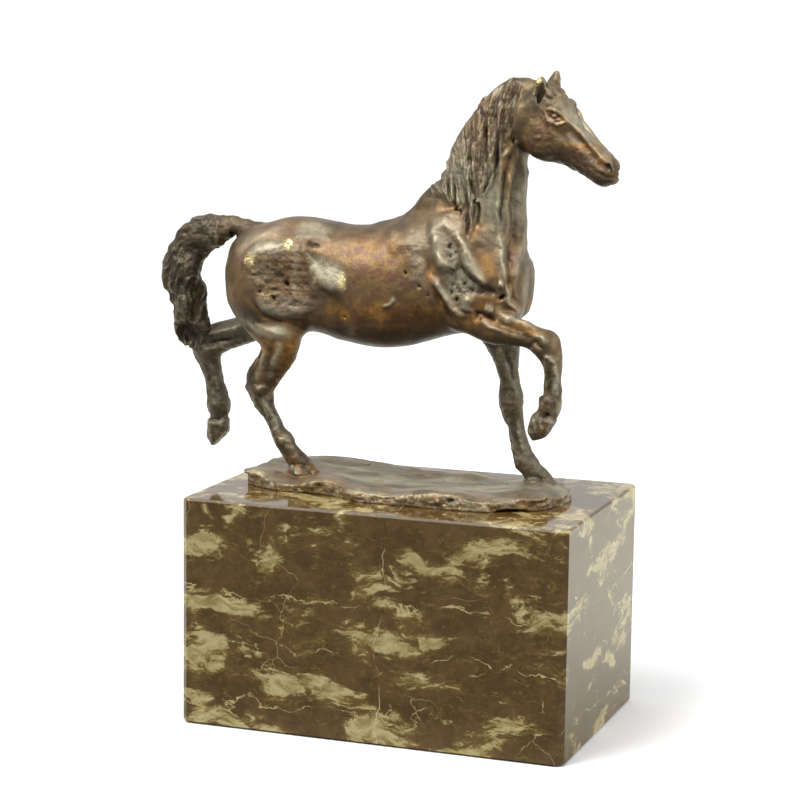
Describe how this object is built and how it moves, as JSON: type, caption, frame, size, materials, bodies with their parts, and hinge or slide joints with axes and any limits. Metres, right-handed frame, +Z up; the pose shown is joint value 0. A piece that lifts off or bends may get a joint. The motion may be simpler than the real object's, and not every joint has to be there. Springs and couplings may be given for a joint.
{
  "type": "horse statuette",
  "caption": "Bronze trotting horse statuette on a cast ground plate, bolted to a polished marble plinth with a felt base.",
  "frame": {"origin": "centre of the felt base's underside, where the statuette stands", "axes": "+Z up, +X the way the horse faces along the plinth's long side, +Y the horse's left side"},
  "size_m": [0.2213, 0.116, 0.2957],
  "materials": {
    "bronze": "hand-rubbed dark brown patina over cast bronze",
    "marble": "polished dark olive-brown marble with beige clouds and cream veins",
    "felt": "short pressed felt",
    "steel": "zinc-plated fasteners"
  },
  "bodies": {
    "root": {"torso": "bronze", "core_pin_plugs": "bronze", "neck_and_head": "bronze", "right_foreleg": "bronze", "left_foreleg": "bronze", "right_hind_leg": "bronze", "left_hind_leg": "bronze", "tail": "bronze", "ground_plate": "bronze", "front_hoof_pin": "bronze", "rear_hoof_pin": "bronze", "plinth_block": "marble", "felt_base": "felt", "front_stud": "steel", "rear_stud": "steel", "front_washer": "steel", "rear_washer": "steel", "front_nut": "steel", "rear_nut": "steel"}
  },
  "joints": []
}
